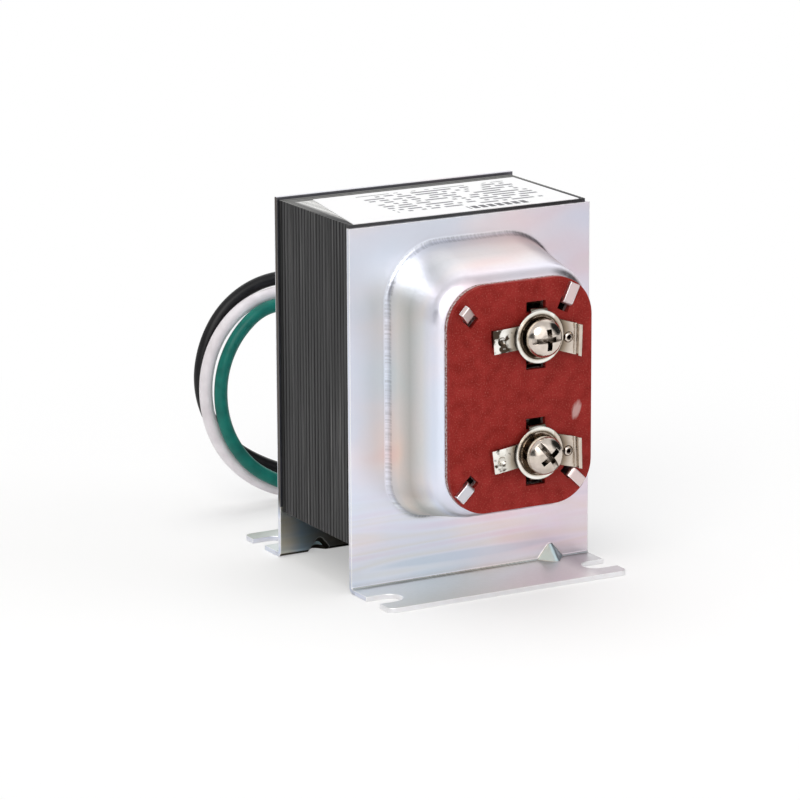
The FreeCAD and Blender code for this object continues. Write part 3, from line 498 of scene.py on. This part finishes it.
# Core: punched silicon steel, dipped in thin varnish
coreSet = {"sheet": 0.5, "streak": 40.0, "edges": [(0.32, "#1E1E1F"), (0.62, "#464647"), (0.78, "#7A7A79")],
           "shadeStart": 12.9, "shadeEnd": 13.9, "shade": 0.25, "rough": (0.45, 0.65), "facing": 0.5,
           "topStart": -12.0, "topEnd": 12.0, "topShare": 0.85, "topPale": "#7C7C7A",
           "glueLeft": (-26.2, -24.6), "glueRight": -10.0, "glueRear": 11.3, "glue": "#E6E6E4"}


def coreMaterial(settings):
    # lamination edges: dark varnished grey, each sheet a slightly different shade, dull sheen
    material, tree, shader, place = startMaterial("laminationSteel",
                                                  {"IOR": 1.45, "Specular IOR Level": 0.25})
    axes = addNode(tree, "ShaderNodeSeparateXYZ", {}, {0: place}).outputs
    long, short = 1 / (settings["streak"] * mm), 1 / (settings["sheet"] * mm)
    fine = addNode(tree, "ShaderNodeMapping", {}, {"Vector": place, "Scale": (long, short, long)})
    sheets = addNode(tree, "ShaderNodeTexNoise", {}, {"Vector": fine.outputs[0], "Scale": 1.0, "Detail": 4})
    tint = addNode(tree, "ShaderNodeValToRGB", {}, {0: sheets.outputs[0]})
    fillRamp(tint, settings["edges"])
    # the last sheets, beside the rear bell, stay darkest
    shade = addNode(tree, "ShaderNodeMapRange", {"interpolation_type": "SMOOTHSTEP"},
                    {0: axes["Y"], 1: settings["shadeStart"] * mm, 2: settings["shadeEnd"] * mm,
                     3: 1.0, 4: settings["shade"]})
    edges = addNode(tree, "ShaderNodeMix", {"data_type": "RGBA", "blend_type": "MULTIPLY"},
                    {0: 1.0, 6: tint.outputs[0], 7: shade.outputs[0]})
    # the top faces turn paler towards the rear
    normal = addNode(tree, "ShaderNodeNewGeometry").outputs["True Normal"]
    upward = addNode(tree, "ShaderNodeSeparateXYZ", {}, {0: normal}).outputs["Z"]
    top = addNode(tree, "ShaderNodeMath", {"operation": "GREATER_THAN"},
                  {0: upward, 1: settings["facing"]}).outputs[0]
    rearPale = addNode(tree, "ShaderNodeMapRange", {"interpolation_type": "SMOOTHSTEP"},
                    {0: axes["Y"], 1: settings["topStart"] * mm, 2: settings["topEnd"] * mm,
                     3: 0.0, 4: settings["topShare"]})
    pale = addNode(tree, "ShaderNodeMath", {"operation": "MULTIPLY"}, {0: top, 1: rearPale.outputs[0]})
    colour = addNode(tree, "ShaderNodeMix", {"data_type": "RGBA"},
                     {0: pale.outputs[0], 6: edges.outputs[2], 7: hexColour(settings["topPale"])})
    # glue of the label, left on the bare corner
    thin, full = settings["glueLeft"]
    smear = addNode(tree, "ShaderNodeMapRange", {"interpolation_type": "SMOOTHSTEP"},
                    {0: axes["X"], 1: thin * mm, 2: full * mm}).outputs[0]
    shares = [top] + [addNode(tree, "ShaderNodeMath", {"operation": "LESS_THAN"},
                              {0: axes[axis], 1: settings[limit] * mm}).outputs[0]
                      for axis, limit in (("X", "glueRight"), ("Y", "glueRear"))]
    for share in shares:
        smear = addNode(tree, "ShaderNodeMath", {"operation": "MULTIPLY"}, {0: smear, 1: share}).outputs[0]
    glued = addNode(tree, "ShaderNodeMix", {"data_type": "RGBA"},
                    {0: smear, 6: colour.outputs[2], 7: hexColour(settings["glue"])})
    tree.links.new(glued.outputs[2], shader.inputs["Base Color"])
    smooth, coarse = settings["rough"]
    rough = addNode(tree, "ShaderNodeMapRange", {}, {0: sheets.outputs[0], 3: smooth, 4: coarse})
    tree.links.new(rough.outputs[0], shader.inputs["Roughness"])
    bump = addNode(tree, "ShaderNodeBump", {},
                   {"Strength": 0.5, "Distance": 0.05 * mm, "Height": sheets.outputs[0]})
    tree.links.new(bump.outputs[0], shader.inputs["Normal"])
    return material


lamination = coreMaterial(coreSet)

# Terminal board: red vulcanised fibre, punched
boardSet = {"mottle": 2.4, "reds": [(0.32, "#7F1913"), (0.66, "#932722")], "facing": 0.5, "rough": (0.5, 0.7),
            "fibre": 0.3, "fleckNoise": (0.54, 0.78), "fleckShare": 0.75, "fleck": "#A85A50",
            "edgeSpeck": 0.45, "edges": [(0.4, "#7A4A46"), (0.6, "#B9ADAB")], "edgeStart": 34.3,
            "scuffPlace": (13.2, 37.65), "scuffSize": (1.5, 2.9), "scuffTurn": 16, "scuffStreak": 0.35,
            "scuffLevel": (0.12, 0.3), "scuffColour": "#B9908C"}


def fibreMaterial(settings):
    # vulcanised fibre: matt red sheet with a cloudy, finely flecked face and pale sheared edges
    material, tree, shader, place = startMaterial("redFibre", {"Specular IOR Level": 0.15})
    cloud, fibre, speck = (addNode(tree, "ShaderNodeTexNoise", {},
                                   {"Vector": place, "Scale": 1 / (settings[size] * mm), "Detail": detail})
                           for size, detail in (("mottle", 6), ("fibre", 3), ("edgeSpeck", 3)))
    tint = addNode(tree, "ShaderNodeValToRGB", {}, {0: cloud.outputs[0]})
    fillRamp(tint, settings["reds"])
    least, most = settings["fleckNoise"]
    fleck = addNode(tree, "ShaderNodeMapRange", {},
                    {0: fibre.outputs[0], 1: least, 2: most, 3: 0.0, 4: settings["fleckShare"]})
    face = addNode(tree, "ShaderNodeMix", {"data_type": "RGBA"},
                   {0: fleck.outputs[0], 6: tint.outputs[0], 7: hexColour(settings["fleck"])})
    # a rubbed spot near the right edge
    (x, z), (wide, high) = settings["scuffPlace"], settings["scuffSize"]
    spot = addNode(tree, "ShaderNodeMapping", {"vector_type": "TEXTURE"},
                   {"Vector": place, "Location": (x * mm, 0, z * mm), "Scale": (wide * mm, 1, high * mm),
                    "Rotation": (0, math.radians(settings["scuffTurn"]), 0)})
    ball = addNode(tree, "ShaderNodeTexGradient", {"gradient_type": "SPHERICAL"}, {0: spot.outputs[0]})
    rub = addNode(tree, "ShaderNodeMapping", {},
                  {"Vector": spot.outputs[0], "Scale": (1 / settings["scuffStreak"], 1, 1)})
    streak = addNode(tree, "ShaderNodeTexNoise", {}, {"Vector": rub.outputs[0], "Scale": 1.0, "Detail": 4})
    worn = addNode(tree, "ShaderNodeMath", {"operation": "MULTIPLY"},
                   {0: ball.outputs["Fac"], 1: streak.outputs[0]})
    begun, bare = settings["scuffLevel"]
    wearAndGlint = addNode(tree, "ShaderNodeMapRange", {}, {0: worn.outputs[0], 1: begun, 2: bare})
    scuffed = addNode(tree, "ShaderNodeMix", {"data_type": "RGBA"},
                      {0: wearAndGlint.outputs[0], 6: face.outputs[2], 7: hexColour(settings["scuffColour"])})
    # sheared edges by the direction that they face
    rim = addNode(tree, "ShaderNodeValToRGB", {}, {0: speck.outputs[0]})
    fillRamp(rim, settings["edges"])
    normal = addNode(tree, "ShaderNodeNewGeometry").outputs["True Normal"]
    facing, depth = (addNode(tree, "ShaderNodeSeparateXYZ", {}, {0: source}).outputs["Y"]
                     for source in (normal, place))
    flat = addNode(tree, "ShaderNodeMath", {"operation": "LESS_THAN"}, {0: facing, 1: -settings["facing"]})
    lip = addNode(tree, "ShaderNodeMath", {"operation": "LESS_THAN"},
                  {0: depth, 1: -settings["edgeStart"] * mm})
    red = addNode(tree, "ShaderNodeMath", {"operation": "MAXIMUM"}, {0: flat.outputs[0], 1: lip.outputs[0]})
    colour = addNode(tree, "ShaderNodeMix", {"data_type": "RGBA"},
                     {0: red.outputs[0], 6: rim.outputs[0], 7: scuffed.outputs[2]})
    tree.links.new(colour.outputs[2], shader.inputs["Base Color"])
    smooth, coarse = settings["rough"]
    rough = addNode(tree, "ShaderNodeMapRange", {}, {0: fibre.outputs[0], 3: smooth, 4: coarse})
    tree.links.new(rough.outputs[0], shader.inputs["Roughness"])
    bump = addNode(tree, "ShaderNodeBump", {},
                   {"Strength": 0.4, "Distance": 0.02 * mm, "Height": fibre.outputs[0]})
    tree.links.new(bump.outputs[0], shader.inputs["Normal"])
    return material


redFibre = fibreMaterial(boardSet)

# Terminals and screws: nickel on brass and steel
nickelSet = {"cloud": 2.5, "rough": (0.2, 0.08), "edge": 0.18, "dent": 1.7,
             "hollow": 2.2, "hollowOpen": (0.8, 0.25), "hollowShading": "#4A4138"}
screwSet = {**nickelSet, "dentDepth": 0.05, "tints": [(0.3, "#C2B6AA"), (0.65, "#DED3C9")]}
plateSet = {**nickelSet, "dentDepth": 0.13, "tints": [(0.3, "#DCD7CD"), (0.65, "#F6F4EE")],
            "dishes": [(3.7, 54.05), (3.7, 30.15)], "besideReach": 8.0,
            "dishShading": [(0.0, "#B5AA9E"), (0.45, "#A89D90"), (0.58, "#CBC2B8"), (0.62, "#FFFFFF"),
                       (0.66, "#FFFFFF"), (0.69, "#5E564D"), (0.80, "#B2A99E"), (1.0, "#FFFFFF")],
            "rightStart": 7.0, "rightShade": "#E0D6CF",
            "spot": 2.1, "spotSeed": 1.2, "spotRise": 0.00335, "spotLevel": (0.641, 0.701),
            "spotRight": (-3.2, -1.8), "spotColour": "#4B4139"}


def nickelMaterial(name, settings):
    # bright nickel: warm mirror, a little uneven from stamping, brown dirt and painted shade in the hollows
    material, tree, shader, place = startMaterial(name, {"Metallic": 1.0})
    cloud, dents = (addNode(tree, "ShaderNodeTexNoise", {},
                            {"Vector": place, "Scale": 1 / (settings[size] * mm), "Detail": detail})
                    for size, detail in (("cloud", 4), ("dent", 1)))
    tint = addNode(tree, "ShaderNodeValToRGB", {}, {0: cloud.outputs[0]})
    fillRamp(tint, settings["tints"])
    # brown dirt and painted shade, found by ambient occlusion
    openness = addNode(tree, "ShaderNodeAmbientOcclusion", {"samples": 8},
                       {"Distance": settings["hollow"] * mm})
    clear, shut = settings["hollowOpen"]
    hollowShading = addNode(tree, "ShaderNodeMapRange", {},
                    {0: openness.outputs["AO"], 1: clear, 2: shut, 3: 0.0, 4: 1.0})
    layers = [(hollowShading.outputs[0], hexColour(settings["hollowShading"]))]
    if "dishes" in settings:
        # painted shade in and round each dish, in the cup and in a dark band by its rim
        flat = addNode(tree, "ShaderNodeVectorMath", {"operation": "MULTIPLY"},
                       {0: place, 1: (1, 0, 1)}).outputs[0]
        for x, z in settings["dishes"]:
            reach = addNode(tree, "ShaderNodeVectorMath", {"operation": "DISTANCE"},
                            {0: flat, 1: (x * mm, 0, z * mm)})
            share = addNode(tree, "ShaderNodeMapRange", {},
                            {0: reach.outputs["Value"], 2: settings["besideReach"] * mm})
            dishShading = addNode(tree, "ShaderNodeValToRGB", {}, {0: share.outputs[0]})
            fillRamp(dishShading, settings["dishShading"])
            layers.append((1.0, dishShading.outputs[0]))
        # the left wings are spotted; the noise is raised a little towards the top
        axes = addNode(tree, "ShaderNodeSeparateXYZ", {}, {0: place}).outputs
        spots = addNode(tree, "ShaderNodeTexNoise", {"noise_dimensions": "4D"},
                        {"Vector": place, "W": settings["spotSeed"], "Scale": 1 / (settings["spot"] * mm),
                         "Detail": 4})
        risen = addNode(tree, "ShaderNodeMath", {"operation": "MULTIPLY_ADD"},
                        {0: axes["Z"], 1: settings["spotRise"] / mm, 2: spots.outputs[0]})
        low, high = settings["spotLevel"]
        stained = addNode(tree, "ShaderNodeMapRange", {}, {0: risen.outputs[0], 1: low, 2: high})
        inside, outside = settings["spotRight"]
        atLeft = addNode(tree, "ShaderNodeMapRange", {},
                         {0: axes["X"], 1: inside * mm, 2: outside * mm, 3: 1.0, 4: 0.0})
        spotted = addNode(tree, "ShaderNodeMath", {"operation": "MULTIPLY"},
                          {0: stained.outputs[0], 1: atLeft.outputs[0]})
        layers.append((spotted.outputs[0], hexColour(settings["spotColour"])))
        # the right wings are a little darker
        atRight = addNode(tree, "ShaderNodeMath", {"operation": "GREATER_THAN"},
                          {0: axes["X"], 1: settings["rightStart"] * mm})
        layers.append((atRight.outputs[0], hexColour(settings["rightShade"])))
    colour = tint.outputs[0]
    for share, over in layers:
        colour = addNode(tree, "ShaderNodeMix", {"data_type": "RGBA", "blend_type": "MULTIPLY"},
                         {0: share, 6: colour, 7: over}).outputs[2]
    tree.links.new(colour, shader.inputs["Base Color"])
    dull, bright = settings["rough"]
    rough = addNode(tree, "ShaderNodeMapRange", {}, {0: cloud.outputs[0], 3: dull, 4: bright})
    tree.links.new(rough.outputs[0], shader.inputs["Roughness"])
    soft = addNode(tree, "ShaderNodeBevel", {"samples": 4}, {"Radius": settings["edge"] * mm})
    bump = addNode(tree, "ShaderNodeBump", {}, {"Strength": 1.0, "Distance": settings["dentDepth"] * mm,
                                                "Height": dents.outputs[0], "Normal": soft.outputs[0]})
    tree.links.new(bump.outputs[0], shader.inputs["Normal"])
    return material


screwNickel = nickelMaterial("screwNickel", screwSet)
plateNickel = nickelMaterial("plateNickel", plateSet)

# Collars: the metal that the piercing punch pushed up round each wing's hole
collarSet = {"places": {"upper": (10.573, 53.117), "lower": (10.618, 29.65)},
             "wingFace": -36.55, "sunk": 0.05, "height": 0.4, "inner": 0.42, "lip": 0.654, "outer": 1.2,
             "round": 0.16, "sides": 48, "weld": 0.001}


def raiseCollar(name, place, settings):
    x, z = (v * mm for v in place)
    inner, lip, outer = (settings[key] * mm for key in ("inner", "lip", "outer"))
    foot, top = ((settings["wingFace"] + v) * mm for v in (settings["sunk"], -settings["height"]))
    bm = bmesh.new()
    section = ((inner, foot), (inner, top), (lip, top), (outer, foot))
    corners = [bm.verts.new((x + reach, y, z)) for reach, y in section]
    bm.faces.new(corners)
    bmesh.ops.bevel(bm, geom=corners[1:3], offset=settings["round"] * mm, affect="VERTICES", segments=4,
                    profile=0.5, material=-1)
    bmesh.ops.spin(bm, geom=bm.verts[:] + bm.edges[:], cent=(x, 0, z), axis=(0, 1, 0), angle=math.tau,
                   steps=settings["sides"], use_merge=True, use_duplicate=False)
    # the section's own face is no part of the skin
    bmesh.ops.delete(bm, geom=[f for f in bm.faces if len(f.verts) > 4], context="FACES_ONLY")
    bmesh.ops.remove_doubles(bm, verts=bm.verts, dist=settings["weld"] * mm)
    bmesh.ops.recalc_face_normals(bm, faces=bm.faces)
    for face in bm.faces:
        face.smooth = True
    collar = makePiece(bm, name + "Collar", screwNickel)
    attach(collar, "root")


for name, place in collarSet["places"].items():
    raiseCollar(name, place, collarSet)
print("collars raised")

# Label: white coated paper with plain bars in rows
labelSet = {"paper": "#EFEFF0", "ink": "#6E6E73", "bold": "#4A4A4F",
            "row": 2.0, "bar": 0.95, "cell": 1.05, "share": 0.42, "x": (-13.0, 22.0), "y": (-10.4, 9.0),
            "boldX": (1.5, 15.8), "boldY": (-13.6, -11.0), "boldCell": 1.9, "boldGap": 0.3}


def labelMaterial(settings):
    # coated label stock: soft white; the bars are dull grey ink
    material, tree, shader, place = startMaterial("labelPaper", {"Roughness": 0.5})
    axes = addNode(tree, "ShaderNodeSeparateXYZ", {}, {0: place}).outputs
    across, down, gap = (addNode(tree, "ShaderNodeMath", {"operation": "DIVIDE"},
                                 {0: axes[axis], 1: settings[size] * mm}).outputs[0]
                         for axis, size in (("X", "cell"), ("Y", "row"), ("X", "boldCell")))
    cell, row = (addNode(tree, "ShaderNodeMath", {"operation": "FLOOR"}, {0: value})
                 for value in (across, down))
    rise, step = (addNode(tree, "ShaderNodeMath", {"operation": "FRACT"}, {0: value})
                  for value in (down, gap))
    pick = addNode(tree, "ShaderNodeCombineXYZ", {}, {0: cell.outputs[0], 1: row.outputs[0]})
    chance = addNode(tree, "ShaderNodeTexWhiteNoise", {"noise_dimensions": "2D"}, {"Vector": pick.outputs[0]})
    filled = addNode(tree, "ShaderNodeMath", {"operation": "GREATER_THAN"},
                     {0: chance.outputs["Value"], 1: settings["share"]})
    line = addNode(tree, "ShaderNodeMath", {"operation": "COMPARE"},
                   {0: rise.outputs[0], 1: 0.5, 2: settings["bar"] / settings["row"] / 2})
    bars = addNode(tree, "ShaderNodeMath", {"operation": "MULTIPLY"},
                   {0: filled.outputs[0], 1: line.outputs[0]})
    heavy = addNode(tree, "ShaderNodeMath", {"operation": "GREATER_THAN"},
                    {0: step.outputs[0], 1: settings["boldGap"]})
    # each kind of bar is held to its own field
    colour = hexColour(settings["paper"])
    for ink, share, fields in (("ink", bars, (("X", "x"), ("Y", "y"))),
                               ("bold", heavy, (("X", "boldX"), ("Y", "boldY")))):
        inside = share.outputs[0]
        for axis, field in fields:
            start, end = settings[field]
            held = addNode(tree, "ShaderNodeMath", {"operation": "COMPARE"},
                           {0: axes[axis], 1: (start + end) / 2 * mm, 2: (end - start) / 2 * mm})
            inside = addNode(tree, "ShaderNodeMath", {"operation": "MULTIPLY"},
                             {0: inside, 1: held.outputs[0]}).outputs[0]
        colour = addNode(tree, "ShaderNodeMix", {"data_type": "RGBA"},
                         {0: inside, 6: colour, 7: hexColour(settings[ink])}).outputs[2]
    tree.links.new(colour, shader.inputs["Base Color"])
    return material


label = labelMaterial(labelSet)

# Pieces inside
innerSet = {
    "enamelledCopper": {"dark": "#8A4423", "pale": "#B56A3C", "grain": 0.4, "rough": (0.29, 0.41),
                        "metallic": 1.0},
    "polyesterTape": {"dark": "#C9A92C", "pale": "#E0C554", "grain": 6.0, "rough": (0.29, 0.41)},
    "nylonBobbin": {"dark": "#D9D2BF", "pale": "#EAE5D6", "grain": 3.0, "rough": (0.44, 0.56)},
    "fishPaper": {"dark": "#9A8A6C", "pale": "#B5A585", "grain": 1.2, "rough": (0.74, 0.86)},
    "glassSleeve": {"dark": "#C9C7BF", "pale": "#E3E1DA", "grain": 0.6, "rough": (0.64, 0.76)},
    "tinnedLug": {"dark": "#A9A7A0", "pale": "#CFCDC6", "grain": 0.8, "rough": (0.29, 0.41), "metallic": 1.0},
    "blackNylon": {"dark": "#141416", "pale": "#232327", "grain": 1.5, "rough": (0.39, 0.51)},
}


def innerMaterial(name, settings):
    # wound, moulded and cut pieces: cloudy colour and a little relief
    material, tree, shader, place = startMaterial(name, {"Metallic": settings.get("metallic", 0.0)})
    cloud = addNode(tree, "ShaderNodeTexNoise", {},
                    {"Vector": place, "Scale": 1 / (settings["grain"] * mm), "Detail": 3})
    tint = addNode(tree, "ShaderNodeValToRGB", {}, {0: cloud.outputs[0]})
    fillRamp(tint, [(0.3, settings["dark"]), (0.7, settings["pale"])])
    tree.links.new(tint.outputs[0], shader.inputs["Base Color"])
    smooth, coarse = settings["rough"]
    rough = addNode(tree, "ShaderNodeMapRange", {}, {0: cloud.outputs[0], 3: smooth, 4: coarse})
    tree.links.new(rough.outputs[0], shader.inputs["Roughness"])
    bump = addNode(tree, "ShaderNodeBump", {},
                   {"Strength": 0.2, "Distance": 0.02 * mm, "Height": cloud.outputs[0]})
    tree.links.new(bump.outputs[0], shader.inputs["Normal"])
    return material


inner = {name: innerMaterial(name, settings) for name, settings in innerSet.items()}
dressing = {
    zinc: ["front_bell", "rear_bell"],
    lamination: ["e_laminations", "i_laminations"],
    redFibre: ["terminal_board"],
    screwNickel: ["upper_terminal_screw", "lower_terminal_screw"],
    plateNickel: ["upper_terminal_plate", "lower_terminal_plate"],
    label: ["rating_label"],
    inner["enamelledCopper"]: ["primary_winding", "secondary_winding"],
    inner["polyesterTape"]: ["primary_tape", "secondary_tape"],
    inner["nylonBobbin"]: ["coil_bobbin"],
    inner["fishPaper"]: ["front_insulator", "rear_insulator"],
    inner["glassSleeve"]: ["upper_secondary_lead", "lower_secondary_lead", "black_splice", "white_splice",
                           "thermal_cutoff"],
    inner["tinnedLug"]: ["ground_lug"],
    inner["blackNylon"]: ["lead_bushing"],
}
for material, names in dressing.items():
    for name in names:
        nodes[name].data.materials.clear()
        nodes[name].data.materials.append(material)
print("finishes on")
